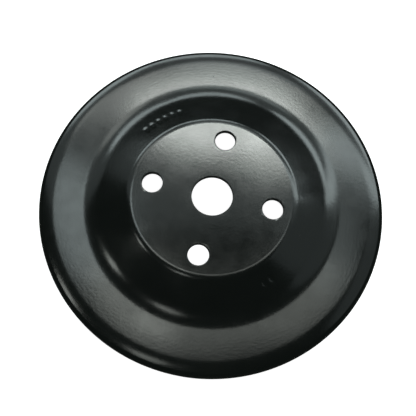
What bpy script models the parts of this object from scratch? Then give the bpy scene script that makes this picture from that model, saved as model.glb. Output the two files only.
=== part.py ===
# V-belt pulley of pressed steel: two pressings nested at the waist and held by plug welds.
# +Z is the pulley's axis, the front face looks up, and z = 0 is the plane of the rear rim.
import math

import bmesh
import bpy
from mathutils import Matrix

MM = 0.001

# Driving dimensions, in millimetres and degrees. Front heights are below the hub's front face.
SHEET = 2.3            # sheet thickness of both pressings
GAP = 0.3              # clearance that stands for every touching face
RIM_R = 80.8           # outer radius of the pulley
BORE_R = 9.525         # pilot bore for a 3/4 inch shaft nose
BOLT_CIRCLE_R = 28.575  # half of the 2 1/4 inch bolt circle
BOLT_HOLE_R = 4.85
BOLT_COUNT = 4

HUB_EDGE_R = 38.2      # where the hub's flat would meet the wall if there were no bend
VALLEY_R = 56.3        # where the wall would meet the flange
CROWN_R = 75.7         # where the flange would meet the rim's slope
WALL_ANGLE = math.radians(14.5)
FLANGE_ANGLE = math.radians(1.0)   # the flange rises outwards
RIM_ANGLE = math.radians(7.9)      # the rim's slope falls outwards into the fold

HUB_BEND = 11.4        # bend radii on the middle of the sheet
VALLEY_BEND = 33.8
CROWN_BEND = 32.9
SKIRT_BEND = 7.0
LIP_BEND = 2.2
FOLD_BEND = 1.45       # tight fold of the front rim

GROOVE_HALF_ANGLE = math.radians(19)
GROOVE_TOP = 12.9      # width between the groove's walls at the outer radius
HEM_INNER_R = 64.1     # where the folded layer of the front rim lands on the groove's floor
SKIRT_INNER_R = 42.6   # where the rear pressing's skirt starts, under the wall
SKIRT_OUTER_R = 54.6   # where the skirt turns down into the groove's floor
FLOOR_OUTER_R = 66.2   # where the groove's floor meets the rear wall
REAR_LIP_R = 77.7      # where the rear wall turns into the rear rim land
REAR_RIM_R = 80.5

WELD_COUNT = 8
WELD_CIRCLE_R = 47.6
WELD_HOLE_R = 3.6
WELD_START_ANGLE = math.radians(22.5)
WELD_CROWN = (0.45, 0.2)   # rise of each step of the weld's crown behind the skirt
WELD_CROWN_INSET = 0.3

SEGMENTS = 64          # divisions of every full turn
HOLE_SEGMENTS = 24
ARC_STEP = math.radians(16)
CAP_STEPS = 4

BLACK_PAINT = (0.014, 0.016, 0.015)
REAR_PAINT = (0.017, 0.018, 0.018)
WELD_PAINT = (0.030, 0.030, 0.031)


def clear_scene():
    for item in list(bpy.data.objects):
        bpy.data.objects.remove(item, do_unlink=True)


def make_material(name, colour, roughness, metallic):
    material = bpy.data.materials.new(name)
    material.use_nodes = True
    shader = material.node_tree.nodes["Principled BSDF"]
    shader.inputs["Base Color"].default_value = (*colour, 1.0)
    shader.inputs["Roughness"].default_value = roughness
    shader.inputs["Metallic"].default_value = metallic
    return material


def unit(dx, dy):
    length = math.hypot(dx, dy)
    return dx / length, dy / length


def bent_path(corners):
    """Points of a sheet's middle line: (radius, height, bend) corners joined by straights and arcs."""
    path = [corners[0][:2]]
    for before, corner, after in zip(corners, corners[1:], corners[2:]):
        x, y, bend = corner
        into = unit(x - before[0], y - before[1])
        out = unit(after[0] - x, after[1] - y)
        turn = math.atan2(into[0] * out[1] - into[1] * out[0], into[0] * out[0] + into[1] * out[1])
        reach = bend * math.tan(abs(turn) / 2)
        side = math.copysign(1.0, turn)
        centre = (x - into[0] * reach - into[1] * bend * side, y - into[1] * reach + into[0] * bend * side)
        start = math.atan2(y - into[1] * reach - centre[1], x - into[0] * reach - centre[0])
        steps = max(2, round(abs(turn) / ARC_STEP))
        for step in range(steps + 1):
            angle = start + turn * step / steps
            path.append((centre[0] + bend * math.cos(angle), centre[1] + bend * math.sin(angle)))
    path.append(corners[-1][:2])
    return path


def offset_path(path, distance):
    """The same line moved sideways, to its left when the distance is positive."""
    moved = []
    for index, (x, y) in enumerate(path):
        before = path[max(index - 1, 0)]
        after = path[min(index + 1, len(path) - 1)]
        into = unit(x - before[0], y - before[1]) if index else unit(after[0] - x, after[1] - y)
        out = unit(after[0] - x, after[1] - y) if index < len(path) - 1 else into
        normal = unit(-into[1] - out[1], into[0] + out[0])
        stretch = distance / (normal[0] * -into[1] + normal[1] * into[0])
        moved.append((x + normal[0] * stretch, y + normal[1] * stretch))
    return moved


def round_cap(path):
    """Half circle of points round the sheet's edge at the end of its middle line."""
    (x, y), (px, py) = path[-1], path[-2]
    along = math.atan2(y - py, x - px)
    radius = SHEET / 2
    cap = []
    for step in range(1, CAP_STEPS):
        angle = along + math.pi / 2 - math.pi * step / CAP_STEPS
        cap.append((x + radius * math.cos(angle), y + radius * math.sin(angle)))
    return cap


def sheet_section(path, rounded_end=False):
    """Closed outline of a sheet of even thickness round its middle line."""
    upper = offset_path(path, SHEET / 2)
    lower = offset_path(path, -SHEET / 2)
    end_cap = round_cap(path) if rounded_end else []
    return upper + end_cap + lower[::-1]


def spin_section(name, outline, material):
    """Ring made by turning a closed outline of (radius, height) points about the axis."""
    mesh = bmesh.new()
    verts = [mesh.verts.new((r * MM, 0.0, z * MM)) for r, z in outline]
    edges = [mesh.edges.new((verts[i - 1], verts[i])) for i in range(len(verts))]
    bmesh.ops.spin(mesh, geom=verts + edges, cent=(0, 0, 0), axis=(0, 0, 1), dvec=(0, 0, 0),
                   angle=math.tau, steps=SEGMENTS, use_merge=True)
    bmesh.ops.recalc_face_normals(mesh, faces=mesh.faces)
    return finish_object(name, mesh, material)


def finish_object(name, mesh, material):
    data = bpy.data.meshes.new(name)
    mesh.to_mesh(data)
    mesh.free()
    data.materials.append(material)
    data.polygons.foreach_set("use_smooth", [True] * len(data.polygons))
    item = bpy.data.objects.new(name, data)
    bpy.context.scene.collection.objects.link(item)
    return item


def cut_holes(item, name, places, radius, length):
    """Bores round holes through an item, one cylinder for each placing matrix."""
    mesh = bmesh.new()
    for place in places:
        bmesh.ops.create_cone(mesh, cap_ends=True, segments=HOLE_SEGMENTS, radius1=radius * MM,
                              radius2=radius * MM, depth=length * MM, matrix=place)
    cutter = finish_object(name, mesh, item.data.materials[0])
    cutter.hide_render = True
    cutter.display_type = "WIRE"
    boolean = item.modifiers.new(name, "BOOLEAN")
    boolean.operation = "DIFFERENCE"
    boolean.solver = "EXACT"
    boolean.object = cutter


def front_corners():
    """Corners of the front pressing's middle line from the bore to the fold of its rim."""
    middle = -SHEET / 2
    valley = middle - (VALLEY_R - HUB_EDGE_R) * math.tan(WALL_ANGLE)
    crown = valley + (CROWN_R - VALLEY_R) * math.tan(FLANGE_ANGLE)
    fold_start = fold_path(crown)[0]
    return [
        (BORE_R, middle, 0),
        (HUB_EDGE_R, middle, HUB_BEND),
        (VALLEY_R, valley, VALLEY_BEND),
        (CROWN_R, crown, CROWN_BEND),
        (*fold_start, 0),
    ]


def fold_path(crown_z):
    """Middle line of the front rim's fold, from the rim's slope round to the folded layer's end."""
    centre_r = RIM_R - SHEET / 2 - FOLD_BEND
    start = math.pi / 2 - RIM_ANGLE
    start_r = centre_r + FOLD_BEND * math.cos(start)
    start_z = crown_z - (start_r - CROWN_R) * math.tan(RIM_ANGLE)
    centre_z = start_z - FOLD_BEND * math.sin(start)
    turn = math.pi - RIM_ANGLE - GROOVE_HALF_ANGLE
    steps = round(turn / ARC_STEP)
    path = []
    for step in range(steps + 1):
        angle = start - turn * step / steps
        path.append((centre_r + FOLD_BEND * math.cos(angle), centre_z + FOLD_BEND * math.sin(angle)))
    end_r, end_z = path[-1]
    path.append((HEM_INNER_R, end_z - (end_r - HEM_INNER_R) * math.tan(GROOVE_HALF_ANGLE)))
    return path


def front_path():
    """Middle line of the whole front pressing."""
    corners = front_corners()
    return bent_path(corners)[:-1] + fold_path(corners[-2][1])


def groove_levels():
    """Heights, from the hub's front face, of the front groove wall at the rim and the rear one."""
    r, z = front_path()[-1]
    front = z - SHEET / 2 / math.cos(GROOVE_HALF_ANGLE) + (RIM_R - r) * math.tan(GROOVE_HALF_ANGLE)
    return front, front - GROOVE_TOP


def rear_wall_z(r):
    """Middle of the rear groove wall at a radius, from the hub's front face."""
    slope = math.tan(GROOVE_HALF_ANGLE)
    return groove_levels()[1] + (RIM_R - r) * slope - SHEET / 2 / math.cos(GROOVE_HALF_ANGLE)


REAR_LIP_Z = rear_wall_z(REAR_LIP_R)
HUB_TOP = SHEET / 2 - REAR_LIP_Z    # height of the hub's front face over the rear rim's plane


def raised(path):
    return [(r, z + HUB_TOP) for r, z in path]


def build_front_half(material):
    section = sheet_section(raised(front_path()))
    item = spin_section("front_half", section, material)
    places = []
    for index in range(BOLT_COUNT):
        turn = Matrix.Rotation(math.tau * index / BOLT_COUNT, 4, "Z")
        places.append(turn @ Matrix.Translation((BOLT_CIRCLE_R * MM, 0, (HUB_TOP - SHEET / 2) * MM)))
    cut_holes(item, "bolt_hole_cutter", places, BOLT_HOLE_R, 3 * SHEET)
    return item


def skirt_z(r):
    """Middle of the rear skirt at a radius, below the hub's front face."""
    apart = (SHEET + GAP) / math.cos(WALL_ANGLE)
    return -SHEET / 2 - (r - HUB_EDGE_R) * math.tan(WALL_ANGLE) - apart


def weld_places():
    """Placing matrices square to the skirt at each plug weld."""
    places = []
    tilt = Matrix.Rotation(WALL_ANGLE, 4, "Y")
    centre = (WELD_CIRCLE_R * MM, 0, (skirt_z(WELD_CIRCLE_R) + HUB_TOP) * MM)
    for index in range(WELD_COUNT):
        turn = Matrix.Rotation(WELD_START_ANGLE + math.tau * index / WELD_COUNT, 4, "Z")
        places.append(turn @ Matrix.Translation(centre) @ tilt)
    return places


def build_rear_half(material):
    corners = [
        (SKIRT_INNER_R, skirt_z(SKIRT_INNER_R), 0),
        (SKIRT_OUTER_R, skirt_z(SKIRT_OUTER_R), SKIRT_BEND),
        (FLOOR_OUTER_R, rear_wall_z(FLOOR_OUTER_R), LIP_BEND),
        (REAR_LIP_R, REAR_LIP_Z, LIP_BEND),
        (REAR_RIM_R - SHEET / 2, REAR_LIP_Z, 0),
    ]
    section = sheet_section(raised(bent_path(corners)), rounded_end=True)
    item = spin_section("rear_half", section, material)
    cut_holes(item, "weld_hole_cutter", weld_places(), WELD_HOLE_R, 3 * SHEET)
    return item


def build_weld(index, place, material):
    """Plug weld: a disc filling its hole, flush with the joint face and crowned behind."""
    radius = (WELD_HOLE_R - GAP) * MM
    mesh = bmesh.new()
    bmesh.ops.create_cone(mesh, cap_ends=True, segments=HOLE_SEGMENTS, radius1=radius,
                          radius2=radius, depth=SHEET * MM)
    crown = min(mesh.faces, key=lambda face: face.calc_center_median().z)
    for rise in WELD_CROWN:
        bmesh.ops.inset_individual(mesh, faces=[crown], thickness=radius * WELD_CROWN_INSET,
                                   depth=rise * MM)
    bmesh.ops.transform(mesh, matrix=place, verts=mesh.verts)
    return finish_object(f"plug_weld_{index:02d}", mesh, material)


def main():
    clear_scene()
    build_front_half(make_material("front_paint", BLACK_PAINT, 0.28, 0.0))
    build_rear_half(make_material("rear_paint", REAR_PAINT, 0.36, 0.0))
    weld_paint = make_material("weld_paint", WELD_PAINT, 0.5, 0.0)
    for index, place in enumerate(weld_places(), start=1):
        build_weld(index, place, weld_paint)


main()
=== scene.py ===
# %% [markdown]
# # A pressed-steel V-belt pulley
#
# The real pulley is two steel pressings, nested at the waist and held together by plug welds, then dipped
# in black paint. The front pressing carries the hub and is folded back at the rim to make the front wall
# of the belt's groove. The rear pressing is a skirt, the groove's floor and the rear wall.
#
# The measured solid comes first, as a fixed frame. Everything that follows is made in its place and size.

import math

import bmesh
import bpy
from mathutils import Matrix, Vector


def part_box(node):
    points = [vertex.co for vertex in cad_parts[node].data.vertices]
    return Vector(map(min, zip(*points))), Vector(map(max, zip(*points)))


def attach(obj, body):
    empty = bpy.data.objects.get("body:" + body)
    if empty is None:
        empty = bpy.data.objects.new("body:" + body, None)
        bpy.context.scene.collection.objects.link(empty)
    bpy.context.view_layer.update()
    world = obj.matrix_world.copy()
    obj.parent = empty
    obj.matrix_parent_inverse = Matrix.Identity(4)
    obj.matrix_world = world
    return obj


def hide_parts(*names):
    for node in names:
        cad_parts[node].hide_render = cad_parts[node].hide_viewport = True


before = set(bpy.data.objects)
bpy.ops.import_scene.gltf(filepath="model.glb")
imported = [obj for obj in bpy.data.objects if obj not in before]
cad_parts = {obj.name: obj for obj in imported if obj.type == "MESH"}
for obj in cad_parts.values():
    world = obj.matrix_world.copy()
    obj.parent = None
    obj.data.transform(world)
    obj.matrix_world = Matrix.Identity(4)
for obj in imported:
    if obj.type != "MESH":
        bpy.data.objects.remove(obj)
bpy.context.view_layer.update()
MM = 0.001
HUB_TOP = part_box("front_half")[1].z / MM
RIM_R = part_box("front_half")[1].x / MM
print(f"hub face {HUB_TOP:.2f} mm above the rear rim, outer radius {RIM_R:.2f} mm")

# %% [markdown]
# ## The sheet's sizes
#
# A pressed pulley is one thickness of sheet all over, so its shape is a single line seen from the side,
# with the bends that the press tool gives it. Stating the corners and bend radii once lets every later
# cell build from the same few numbers. Heights are measured down from the hub's front face.

# %% Sizes in millimetres
SHEET = 2.3
GAP = 0.3
BORE_R = 9.525
BOLT_CIRCLE_R = 28.575
BOLT_HOLE_R = 4.85
BOLT_COUNT = 4
HUB_EDGE_R, HUB_BEND = 38.2, 11.4
VALLEY_R, VALLEY_BEND = 56.3, 33.8
CROWN_R, CROWN_BEND = 75.7, 32.9
FOLD_BEND = 1.45
WALL_ANGLE = math.radians(14.5)
FLANGE_ANGLE = math.radians(1.0)
RIM_ANGLE = math.radians(7.9)
GROOVE_HALF_ANGLE = math.radians(19)
GROOVE_TOP = 12.9
HEM_INNER_R = 64.1
SKIRT_INNER_R = 42.6
SKIRT_OUTER_R, SKIRT_BEND = 54.6, 7.0
FLOOR_OUTER_R = 66.2
REAR_LIP_R, LIP_BEND = 77.7, 2.2
REAR_RIM_R = 80.5
WELD_COUNT = 8
WELD_CIRCLE_R = 47.6
WELD_HOLE_R = 3.6
WELD_START = math.radians(22.5)
print(f"flange runs from radius {VALLEY_R} to {CROWN_R} mm")

# %% [markdown]
# ## Bending a line
#
# A press tool never leaves a sharp corner: each bend is an arc that touches both straights. These helpers
# turn a list of corners into the sheet's middle line, with points close enough together that the shading
# follows the metal, and then move that line sideways by half a thickness to give the two surfaces.
# A Bevel modifier could round the corners too, but the arcs here keep the exact radii.

# %% Lines with bends
ARC_STEP = math.radians(1.1)


def unit(dx, dy):
    length = math.hypot(dx, dy)
    return dx / length, dy / length


def arc(centre, radius, start, turn, step):
    count = max(3, math.ceil(abs(turn) / step))
    angles = [start + turn * i / count for i in range(count + 1)]
    return [(centre[0] + radius * math.cos(a), centre[1] + radius * math.sin(a)) for a in angles]


def bent_line(corners, step=ARC_STEP):
    line = [corners[0][:2]]
    for before, corner, after in zip(corners, corners[1:], corners[2:]):
        x, y, bend = corner
        into = unit(x - before[0], y - before[1])
        out = unit(after[0] - x, after[1] - y)
        turn = math.atan2(into[0] * out[1] - into[1] * out[0], into[0] * out[0] + into[1] * out[1])
        side = math.copysign(1.0, turn)
        reach = bend * math.tan(abs(turn) / 2)
        touch = (x - into[0] * reach, y - into[1] * reach)
        centre = (touch[0] - into[1] * bend * side, touch[1] + into[0] * bend * side)
        start = math.atan2(touch[1] - centre[1], touch[0] - centre[0])
        line += arc(centre, bend, start, turn, step)
    return line + [corners[-1][:2]]


def divided(line, longest):
    """The same line with points added so that no stretch is longer than longest(radius)."""
    fine = [line[0]]
    for (x0, y0), (x1, y1) in zip(line, line[1:]):
        count = max(1, math.ceil(math.hypot(x1 - x0, y1 - y0) / longest((x0 + x1) / 2)))
        fine += [(x0 + (x1 - x0) * i / count, y0 + (y1 - y0) * i / count) for i in range(1, count + 1)]
    return fine


def moved_sideways(line, distance):
    moved = []
    last = len(line) - 1
    for i, (x, y) in enumerate(line):
        into = unit(x - line[max(i - 1, 0)][0], y - line[max(i - 1, 0)][1]) if i else None
        out = unit(line[i + 1][0] - x, line[i + 1][1] - y) if i < last else into
        into = into or out
        normal = unit(-into[1] - out[1], into[0] + out[0])
        stretch = distance / (normal[1] * into[0] - normal[0] * into[1])
        moved.append((x + normal[0] * stretch, y + normal[1] * stretch))
    return moved


print("bend helpers ready, one point every", round(math.degrees(ARC_STEP), 1), "degrees of bend")

# %% [markdown]
# ## From a section to a ring
#
# Pressed rings are turned shapes, so the section is drawn as a loop of edges and bmesh's spin operator
# carries it round the axis. use_merge closes the seam. The cut edges of the sheet are then rounded by the
# bevel operator, because punching and rumbling take the sharpness off real edges.

# %% Spin and bevel helpers
TURNS = 384


def ring_mesh(outline, turns=TURNS):
    mesh = bmesh.new()
    points = [mesh.verts.new((r * MM, 0, z * MM)) for r, z in outline]
    edges = [mesh.edges.new((points[i - 1], points[i])) for i in range(len(points))]
    bmesh.ops.spin(mesh, geom=points + edges, cent=(0, 0, 0), axis=(0, 0, 1), dvec=(0, 0, 0),
                   angle=math.tau, steps=turns, use_merge=True)
    bmesh.ops.recalc_face_normals(mesh, faces=mesh.faces)
    return mesh


def round_sharp_edges(mesh, radius, limit=math.radians(50), steps=3):
    sharp = [e for e in mesh.edges if len(e.link_faces) == 2 and e.calc_face_angle(0) > limit]
    bmesh.ops.bevel(mesh, geom=sharp, offset=radius * MM, offset_type="OFFSET", affect="EDGES",
                    segments=steps, profile=0.5, material=-1, clamp_overlap=True)
    return len(sharp)


def finished(name, mesh, material, slot, *nodes):
    data = bpy.data.meshes.new(name)
    mesh.to_mesh(data)
    mesh.free()
    data.materials.append(material)
    data.polygons.foreach_set("use_smooth", [True] * len(data.polygons))
    piece = bpy.data.objects.new(name, data)
    bpy.context.scene.collection.objects.link(piece)
    weighted = piece.modifiers.new("even_shading", "WEIGHTED_NORMAL")
    weighted.keep_sharp = True
    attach(piece, "root")
    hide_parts(*nodes)
    print(name, len(data.polygons), "faces")
    return piece


print("a full turn has", TURNS, "steps")

# %% [markdown]
# ## Black dip paint
#
# The pulley is dipped and baked. The coat is nearly black with a faint green cast, glossy enough to mirror
# a lamp as a soft band, and it has orange peel about a millimetre across. Under it the sheet keeps faint
# rings from the press tool, and a few dust nibs are baked in. All of it reads Object coordinates, so it
# stays put as the camera moves. Each layer of relief has its own Bump node, and the bumps are chained.

# %% Paint helper
def add_node(tree, kind, **values):
    node = tree.nodes.new(kind)
    for key, value in values.items():
        if hasattr(node, key):
            setattr(node, key, value)
        else:
            node.inputs[key.replace("_", " ")].default_value = value
    return node


def noise(tree, coords, scale, detail=2.0, roughness=0.5):
    node = add_node(tree, "ShaderNodeTexNoise", Scale=scale, Detail=detail, Roughness=roughness)
    tree.links.new(coords, node.inputs["Vector"])
    return node.outputs["Fac"]


def ranged(tree, value, low, high, to_low, to_high):
    node = add_node(tree, "ShaderNodeMapRange")
    tree.links.new(value, node.inputs["Value"])
    for key, number in zip(("From Min", "From Max", "To Min", "To Max"), (low, high, to_low, to_high)):
        node.inputs[key].default_value = number
    return node.outputs["Result"]


def bumped(tree, height, depth, normal=None):
    node = add_node(tree, "ShaderNodeBump", Strength=1.0, Distance=depth)
    tree.links.new(height, node.inputs["Height"])
    if normal:
        tree.links.new(normal, node.inputs["Normal"])
    return node.outputs["Normal"]


def nibs(tree, coords, spacing, size):
    """Round specks scattered one to a cell, most of them too small to show."""
    scale = 1 / spacing
    dots = add_node(tree, "ShaderNodeTexVoronoi", Scale=scale)
    tree.links.new(coords, dots.inputs["Vector"])
    apart = add_node(tree, "ShaderNodeSeparateColor")
    tree.links.new(dots.outputs["Color"], apart.inputs["Color"])
    reach = ranged(tree, apart.outputs["Red"], 0.55, 1.0, 0.0001, size * scale)
    share = add_node(tree, "ShaderNodeMath", operation="DIVIDE")
    tree.links.new(dots.outputs["Distance"], share.inputs[0])
    tree.links.new(reach, share.inputs[1])
    return ranged(tree, share.outputs["Value"], 0.4, 1.0, 1.0, 0.0)


NIB_SIZE, NIB_HEIGHT = 0.0006, 0.00004
DUST = (0.09, 0.09, 0.085, 1)
WOBBLE_DEPTH = 0.00002


def dip_paint(name, colour, pale, gloss, peel_size, peel_depth, ring_depth, nib_spacing):
    """Baked black paint. gloss is the (lowest, highest) roughness, sizes and depths are in metres."""
    material = bpy.data.materials.new(name)
    material.use_nodes = True
    tree = material.node_tree
    shader = tree.nodes["Principled BSDF"]
    coords = add_node(tree, "ShaderNodeTexCoord").outputs["Object"]
    cloud = noise(tree, coords, 38.0, 3.0)
    tint = add_node(tree, "ShaderNodeMix", data_type="RGBA")
    tint.inputs["A"].default_value = (*colour, 1)
    tint.inputs["B"].default_value = (*pale, 1)
    tree.links.new(ranged(tree, cloud, 0.35, 0.7, 0.0, 1.0), tint.inputs["Factor"])
    specks = nibs(tree, coords, nib_spacing, NIB_SIZE)
    dusty = add_node(tree, "ShaderNodeMix", data_type="RGBA")
    dusty.inputs["B"].default_value = DUST
    tree.links.new(tint.outputs["Result"], dusty.inputs["A"])
    tree.links.new(ranged(tree, specks, 0.0, 1.0, 0.0, 0.5), dusty.inputs["Factor"])
    tree.links.new(dusty.outputs["Result"], shader.inputs["Base Color"])
    haze = noise(tree, coords, 150.0, 4.0, 0.6)
    tree.links.new(ranged(tree, haze, 0.3, 0.7, *gloss), shader.inputs["Roughness"])
    shader.inputs["IOR"].default_value = 1.5
    rings = add_node(tree, "ShaderNodeTexWave", wave_type="RINGS", rings_direction="Z", Scale=210.0,
                     Distortion=3.0, Detail=2.0)
    tree.links.new(coords, rings.inputs["Vector"])
    normal = bumped(tree, rings.outputs["Fac"], ring_depth)
    normal = bumped(tree, noise(tree, coords, 45.0, 1.0), WOBBLE_DEPTH, normal)
    normal = bumped(tree, noise(tree, coords, 1 / peel_size, 2.0), peel_depth, normal)
    normal = bumped(tree, specks, NIB_HEIGHT, normal)
    tree.links.new(normal, shader.inputs["Normal"])
    return material


front_paint = dip_paint("front_paint", (0.0030, 0.0040, 0.0037), (0.0045, 0.0056, 0.0052),
                        (0.115, 0.155), 0.0012, 0.000011, 0.0000007, 0.011)
print("front paint has", len(front_paint.node_tree.nodes), "nodes")

# %% [markdown]
# ## The front pressing
#
# One sheet runs out from the bore: a flat hub, a sloping wall, a nearly flat flange, a crowned rim, and a
# tight fold that brings the sheet back inwards under itself as the groove's front wall. The line is drawn
# from the bore to the end of the folded layer. The points lie closest together where the metal bends.

# %% The front section
def front_corners():
    middle = -SHEET / 2
    valley = middle - (VALLEY_R - HUB_EDGE_R) * math.tan(WALL_ANGLE)
    crown = valley + (CROWN_R - VALLEY_R) * math.tan(FLANGE_ANGLE)
    return [(BORE_R, middle, 0), (HUB_EDGE_R, middle, HUB_BEND), (VALLEY_R, valley, VALLEY_BEND),
            (CROWN_R, crown, CROWN_BEND), (*fold_line(crown)[0], 0)]


def fold_line(crown_z):
    centre_r = RIM_R - SHEET / 2 - FOLD_BEND
    start = math.pi / 2 - RIM_ANGLE
    start_z = crown_z - (centre_r + FOLD_BEND * math.cos(start) - CROWN_R) * math.tan(RIM_ANGLE)
    centre = (centre_r, start_z - FOLD_BEND * math.sin(start))
    line = arc(centre, FOLD_BEND, start, GROOVE_HALF_ANGLE + RIM_ANGLE - math.pi, math.radians(7))
    end_r, end_z = line[-1]
    return line + [(HEM_INNER_R, end_z - (end_r - HEM_INNER_R) * math.tan(GROOVE_HALF_ANGLE))]


def spacing(radius):
    return 5.0 if radius < 36 else 0.9 if radius < 54 else 2.2


def raised(line):
    return [(r, z + HUB_TOP) for r, z in line]


corners = front_corners()
front_line = divided(bent_line(corners)[:-1] + fold_line(corners[3][1]), spacing)
front_outline = (moved_sideways(raised(front_line), SHEET / 2)
                 + moved_sideways(raised(front_line), -SHEET / 2)[::-1])
print(len(front_outline), "points round the front section, lowest at",
      round(min(z for r, z in front_outline), 2), "mm")

# %% [markdown]
# ## Stamped marks
#
# The press leaves a row of stamped marks in the wall, and a short row opposite. Here they are plain oval
# dimples that say nothing. The faces round each row are divided by an operator first, so that the metal
# has enough points to sink in smoothly, and then the points inside an oval move down.

# %% Stamp plain marks into the wall
MARK_RADIUS = 46.3
MARK_LENGTH, MARK_WIDTH, MARK_DEPTH = 4.2, 2.3, 0.12
MARK_ANGLES = [math.radians(a) for a in (122.5, 127.1, 131.7, 136.3, 140.9, 145.5, 312.5, 317.2)]


def wall_places(mesh, margin):
    """Points of the wall's front surface near a mark, with their distances along and across it."""
    for vert in mesh.verts:
        r = math.hypot(vert.co.x, vert.co.y) / MM
        drop = HUB_TOP - vert.co.z / MM
        if abs(r - MARK_RADIUS) > MARK_LENGTH / 2 + margin or drop > SHEET:
            continue
        turn = math.atan2(vert.co.y, vert.co.x)
        for angle in MARK_ANGLES:
            across = r * math.remainder(turn - angle, math.tau)
            if abs(across) < MARK_WIDTH / 2 + margin:
                yield vert, r - MARK_RADIUS, across
                break


def stamp_marks(mesh):
    near = {place[0] for place in wall_places(mesh, 0.6)}
    edges = [e for e in mesh.edges if e.verts[0] in near and e.verts[1] in near]
    bmesh.ops.subdivide_edges(mesh, edges=edges, cuts=2, use_grid_fill=True)
    sunk = 0
    for vert, along, across in list(wall_places(mesh, 0.0)):
        share = (2 * along / MARK_LENGTH) ** 2 + (2 * across / MARK_WIDTH) ** 2
        if share < 1:
            vert.co.z -= MARK_DEPTH * MM * min(1.0, 2.2 * (1 - share)) ** 2
            sunk += 1
    return sunk


front_mesh = ring_mesh(front_outline)
print(round_sharp_edges(front_mesh, 0.35), "edges rounded,", stamp_marks(front_mesh), "points sunk")

# %% [markdown]
# ## Bolt holes
#
# A punch pulls the sheet's skin down with it, so each hole has a softly rolled entry edge. The cutter is a
# turned plug whose ends flare by the same radius. An exact Boolean keeps the rolled edge in one pass, where
# a straight cylinder would need a second bevel along a cut edge.

# %% Punch the bolt holes
ROLL = 0.45


def cutter_section(radius, top, bottom, roll):
    upper = arc((radius + roll, top - roll), roll, math.pi, -math.pi / 2, math.radians(18))
    lower = arc((radius + roll, bottom + roll), roll, -math.pi / 2, -math.pi / 2, math.radians(18))
    reach = radius + roll
    return [(0, bottom - 2), (reach, bottom - 2)] + lower + upper + [(reach, top + 2), (0, top + 2)]


def turned_plug(section, turns):
    mesh = bmesh.new()
    points = [mesh.verts.new((r * MM, 0, z * MM)) for r, z in section]
    edges = [mesh.edges.new(pair) for pair in zip(points, points[1:])]
    bmesh.ops.spin(mesh, geom=points + edges, cent=(0, 0, 0), axis=(0, 0, 1), dvec=(0, 0, 0),
                   angle=math.tau, steps=turns, use_merge=True)
    bmesh.ops.remove_doubles(mesh, verts=mesh.verts, dist=1e-7)
    bmesh.ops.recalc_face_normals(mesh, faces=mesh.faces)
    return mesh


def punched(mesh, plug, places):
    """The mesh with a copy of the plug cut out of it at each placing matrix."""
    body = bpy.data.meshes.new("punch_body")
    mesh.to_mesh(body)
    mesh.free()
    target = bpy.data.objects.new("punch_body", body)
    tool = bpy.data.meshes.new("punch_tool")
    plug.to_mesh(tool)
    plug.free()
    many = bmesh.new()
    for place in places:
        single = bmesh.new()
        single.from_mesh(tool)
        bmesh.ops.transform(single, matrix=place, verts=single.verts)
        moved = bpy.data.meshes.new("punch_copy")
        single.to_mesh(moved)
        single.free()
        many.from_mesh(moved)
        bpy.data.meshes.remove(moved)
    many.to_mesh(tool)
    many.free()
    cutter = bpy.data.objects.new("punch_tool", tool)
    for item in (target, cutter):
        bpy.context.scene.collection.objects.link(item)
    boolean = target.modifiers.new("punch", "BOOLEAN")
    boolean.operation, boolean.solver, boolean.object = "DIFFERENCE", "EXACT", cutter
    result = bmesh.new()
    result.from_object(target, bpy.context.evaluated_depsgraph_get())
    for item in (target, cutter):
        bpy.data.objects.remove(item)
    return result


plug = turned_plug(cutter_section(BOLT_HOLE_R, HUB_TOP, HUB_TOP - SHEET, ROLL), 72)
outwards = Matrix.Translation((BOLT_CIRCLE_R * MM, 0, 0))
bolt_places = [Matrix.Rotation(math.tau * i / BOLT_COUNT, 4, "Z") @ outwards for i in range(BOLT_COUNT)]
front_mesh = punched(front_mesh, plug, bolt_places)
front = finished("front_pressing", front_mesh, front_paint, "front_paint", "front_half")

# %% [markdown]
# ## The rear pressing
#
# The rear half nests behind the wall as a skirt, turns down as the groove's floor, opens into the rear
# wall and ends in a flat land that the pulley rests on. It is spun like the front one. Its paint is a
# little flatter, because the back of a dipped part drains and dries unevenly.

# %% The rear section
def skirt_z(r):
    apart = (SHEET + GAP) / math.cos(WALL_ANGLE)
    return -SHEET / 2 - (r - HUB_EDGE_R) * math.tan(WALL_ANGLE) - apart


def rear_wall_z(r):
    slope = math.tan(GROOVE_HALF_ANGLE)
    thick = SHEET / 2 / math.cos(GROOVE_HALF_ANGLE)
    end_r, end_z = fold_line(corners[3][1])[-1]
    return end_z + (RIM_R - end_r) * slope - GROOVE_TOP - 2 * thick + (RIM_R - r) * slope


lip_z = rear_wall_z(REAR_LIP_R)
rear_line = divided(bent_line([
    (SKIRT_INNER_R, skirt_z(SKIRT_INNER_R), 0),
    (SKIRT_OUTER_R, skirt_z(SKIRT_OUTER_R), SKIRT_BEND),
    (FLOOR_OUTER_R, rear_wall_z(FLOOR_OUTER_R), LIP_BEND),
    (REAR_LIP_R, lip_z, LIP_BEND),
    (REAR_RIM_R - SHEET / 2, lip_z, 0)], math.radians(4)), lambda r: 2.5)
rear_cap = arc((REAR_RIM_R - SHEET / 2, lip_z), SHEET / 2, math.pi / 2, -math.pi, math.radians(20))[1:-1]
rear_outline = raised(moved_sideways(rear_line, SHEET / 2) + rear_cap
                      + moved_sideways(rear_line, -SHEET / 2)[::-1])
rear_paint = dip_paint("rear_paint", (0.0080, 0.0090, 0.0088), (0.0120, 0.0130, 0.0125),
                       (0.26, 0.38), 0.0017, 0.000010, 0.0000015, 0.008)
rear_mesh = ring_mesh(rear_outline)
round_sharp_edges(rear_mesh, 0.35)
print(len(rear_outline), "points round the rear section, lowest at",
      round(min(z for r, z in rear_outline), 3), "mm")

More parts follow.
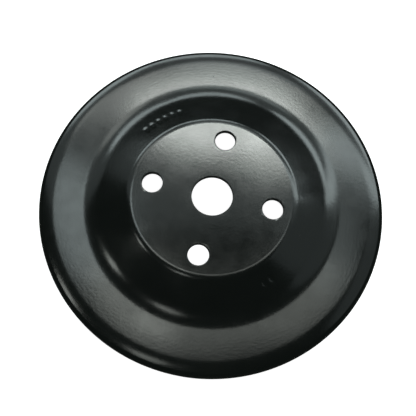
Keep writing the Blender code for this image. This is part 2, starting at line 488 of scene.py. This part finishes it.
# %% [markdown]
# ## Weld holes and plug welds
#
# Eight round holes in the skirt are filled with weld, which joins it to the wall in front. A weld pool
# freezes in a crown with ripples and a slightly uneven rim, and the paint over it is rougher. Each plug is
# a cone operator's disc, inset in rings, with the rings raised and rippled.

# %% Punch the skirt and fill it with weld
def weld_place(index):
    centre = (WELD_CIRCLE_R * MM, 0, (skirt_z(WELD_CIRCLE_R) + HUB_TOP) * MM)
    turn = Matrix.Rotation(WELD_START + math.tau * index / WELD_COUNT, 4, "Z")
    return turn @ Matrix.Translation(centre) @ Matrix.Rotation(WALL_ANGLE, 4, "Y")


weld_places = [weld_place(i) for i in range(WELD_COUNT)]
hole = turned_plug([(0, -5), (WELD_HOLE_R, -5), (WELD_HOLE_R, 5), (0, 5)], 48)
rear_mesh = punched(rear_mesh, hole, weld_places)
rear = finished("rear_pressing", rear_mesh, rear_paint, "rear_paint", "rear_half")

WELD_RINGS = 9
WELD_RISE = 0.65
weld_paint = dip_paint("weld_paint", (0.014, 0.014, 0.0145), (0.026, 0.025, 0.024),
                       (0.34, 0.5), 0.0009, 0.00002, 0.0000005, 0.004)


def weld_mesh(index, place):
    radius = (WELD_HOLE_R - GAP) * MM
    mesh = bmesh.new()
    bmesh.ops.create_cone(mesh, cap_ends=True, segments=48, radius1=radius, radius2=radius,
                          depth=SHEET * MM)
    crown = min(mesh.faces, key=lambda face: face.calc_center_median().z)
    for ring in range(WELD_RINGS):
        bmesh.ops.inset_individual(mesh, faces=[crown], thickness=radius / (WELD_RINGS + 1), depth=0)
    for vert in mesh.verts:
        if vert.co.z > -SHEET / 2 * MM + 1e-6:
            continue
        out = math.hypot(vert.co.x, vert.co.y) / radius
        ripple = 0.07 * math.sin(9 * math.hypot(vert.co.x / radius - 0.7, vert.co.y / radius) + index)
        vert.co.z -= (WELD_RISE * (1 - out ** 2) + ripple * (1 - out ** 4)) * MM
    bmesh.ops.recalc_face_normals(mesh, faces=mesh.faces)
    bmesh.ops.transform(mesh, matrix=place, verts=mesh.verts)
    return mesh


for index, place in enumerate(weld_places):
    finished(f"weld_{index + 1:02d}", weld_mesh(index, place), weld_paint, "weld_paint",
             f"plug_weld_{index + 1:02d}")

# %% [markdown]
# ## The floor and the room
#
# A shop shows such a part on plain white, so the floor is a pale sheet that glows a little and throws
# no hard shadow. The floor is left out of mirror reflections, so the rim stays dark against it. The room
# itself is dim and slightly green, which is what black paint shows wherever no lamp is mirrored.

# %% Floor and room
FLOOR_HALF = 12.0
ROOM_COLOUR = (0.055, 0.066, 0.058, 1)
floor_mesh = bmesh.new()
bmesh.ops.create_grid(floor_mesh, x_segments=1, y_segments=1, size=FLOOR_HALF)
floor_data = bpy.data.meshes.new("floor")
floor_mesh.to_mesh(floor_data)
floor_mesh.free()
floor = bpy.data.objects.new("floor", floor_data)
bpy.context.scene.collection.objects.link(floor)
pale = bpy.data.materials.new("pale_floor")
pale.use_nodes = True
pale_shader = pale.node_tree.nodes["Principled BSDF"]
pale_shader.inputs["Base Color"].default_value = (0.9, 0.9, 0.9, 1)
pale_shader.inputs["Roughness"].default_value = 0.9
pale_shader.inputs["Specular IOR Level"].default_value = 0.0
pale_shader.inputs["Emission Color"].default_value = (1, 1, 1, 1)
pale_shader.inputs["Emission Strength"].default_value = 1.0
floor_data.materials.append(pale)
floor.visible_glossy = False

room = bpy.data.worlds.new("room")
room.use_nodes = True
bpy.context.scene.world = room
dim = room.node_tree.nodes["Background"]
dim.inputs["Color"].default_value = ROOM_COLOUR
white = room.node_tree.nodes.new("ShaderNodeBackground")
white.inputs["Color"].default_value = (1, 1, 1, 1)
seen = room.node_tree.nodes.new("ShaderNodeLightPath")
either = room.node_tree.nodes.new("ShaderNodeMixShader")
room_output = room.node_tree.nodes["World Output"]
join = room.node_tree.links.new
join(seen.outputs["Is Camera Ray"], either.inputs["Fac"])
join(dim.outputs["Background"], either.inputs[1])
join(white.outputs["Background"], either.inputs[2])
join(either.outputs["Shader"], room_output.inputs["Surface"])
bpy.context.scene.view_settings.view_transform = "Standard"
print("floor at z = 0, room radiance about 0.06")

# %% [markdown]
# ## Soft lamps
#
# Black gloss shows its lamps more than its own colour, so the lamps are set by where their mirror images
# fall. Each is a soft panel three metres away. Its place is how many degrees its direction leans right and
# away from the hub's axis, followed by half its width and half its height, in degrees, its roll, and its
# brightness. They were placed one for each soft patch of light. A dark gap is left where a person
# would stand over the pulley.

# %% Lamps
LAMP_DISTANCE = 3.0
VIEW_TURN = math.radians(12.7)
CREAM, COOL, BEIGE = (0.94, 1.0, 0.95), (0.86, 1.0, 1.0), (0.94, 1.0, 0.93)


def lamp(name, right, away, half_width, half_height, roll, radiance, colour):
    lean, around = math.radians(math.hypot(right, away)), math.atan2(away, right)
    toward = Vector((math.sin(lean) * math.cos(around), math.sin(lean) * math.sin(around), math.cos(lean)))
    outward = Vector((math.cos(lean) * math.cos(around), math.cos(lean) * math.sin(around), -math.sin(lean)))
    sideways = Vector((-math.sin(around), math.cos(around), 0))
    skew = around - math.radians(roll)
    along = math.cos(skew) * outward - math.sin(skew) * sideways
    axes = Matrix((along, toward.cross(along), toward)).transposed()
    data = bpy.data.lights.new(name, "AREA")
    data.shape = "ELLIPSE"
    data.size = 2 * LAMP_DISTANCE * math.tan(math.radians(half_width))
    data.size_y = 2 * LAMP_DISTANCE * math.tan(math.radians(half_height))
    data.energy = radiance * math.pi * math.pi * data.size * data.size_y / 4
    data.color = colour
    item = bpy.data.objects.new(name, data)
    bpy.context.scene.collection.objects.link(item)
    place = Matrix.Rotation(VIEW_TURN, 4, "Z") @ Matrix.Translation(toward * LAMP_DISTANCE) @ axes.to_4x4()
    item.matrix_world = Matrix.Translation((0, 0, HUB_TOP * MM)) @ place
    item.visible_camera = False


LAMPS = [
    ("far_bar", 2, 27.5, 8.0, 3.2, 0, 15.0, CREAM),
    ("far_bar_end", 9, 24.5, 3.4, 2.8, 0, 9.0, CREAM),
    ("right_streak", 25, 22.5, 14.0, 3.3, -7, 5.0, COOL),
    ("right_arc", 28.5, 35, 13.0, 3.8, -52, 5.5, COOL),
    ("left_side", -11.5, 17, 3.0, 6.0, 20, 4.0, COOL),
    ("near_left", -6, 9.5, 5.0, 2.7, -45, 4.0, BEIGE),
    ("near_middle", 1, 7, 6.5, 2.6, 0, 2.0, BEIGE),
    ("near_right", 10.5, 9.5, 5.0, 2.8, 40, 2.5, BEIGE),
    ("right_side", 13.5, 14, 2.6, 4.2, 0, 1.5, COOL),
    ("upper_left", -11, 30, 6.0, 3.8, 0, 3.0, CREAM),
    ("upper_left_arc", -20, 41, 10.0, 3.8, 35, 5.0, COOL),
    ("top_band", 0, 48.5, 12.0, 3.2, 0, 4.5, COOL),
    ("upper_middle", 5, 34, 9.0, 3.5, 0, 2.0, COOL),
    ("low_left_spot", -25.5, 1, 2.8, 3.3, 0, 5.5, BEIGE),
    ("low_spot", -9.5, -9, 3.4, 2.8, 0, 3.8, BEIGE),
    ("far_wash", 0, 34, 34.0, 18.0, 0, 0.6, COOL),
    ("right_wash", 32, 8, 13.0, 16.0, 0, 0.4, COOL),
]
for row in LAMPS:
    lamp(*row)
print(len(LAMPS), "soft lamps")

# %% [markdown]
# ## The camera
#
# The camera stands above the near edge and looks down across the hub, so that the round pulley shows as a
# slightly flattened ring. The lens is a normal one held close, which makes the near side a little larger.
# Its lens, place and turns were solved by least squares from where the holes and the rim's outline appear.

# %% Camera
CAMERA_LENS = 48.12
CAMERA_PLACE = (0.011061, -0.085920, HUB_TOP * MM + 0.241172)
CAMERA_TURNS = (18.3762, -1.4580, 12.7015)
view = bpy.data.cameras.new("view")
view.sensor_width = 36.0
view.lens = CAMERA_LENS
camera = bpy.data.objects.new("view", view)
camera.location = CAMERA_PLACE
camera.rotation_euler = [math.radians(a) for a in CAMERA_TURNS]
bpy.context.scene.collection.objects.link(camera)
bpy.context.scene.camera = camera
print("camera", round(camera.location.length, 3), "m from the rear rim's centre")

# %% [markdown]
# ## Finish

# %% Finish
print("scene finished")
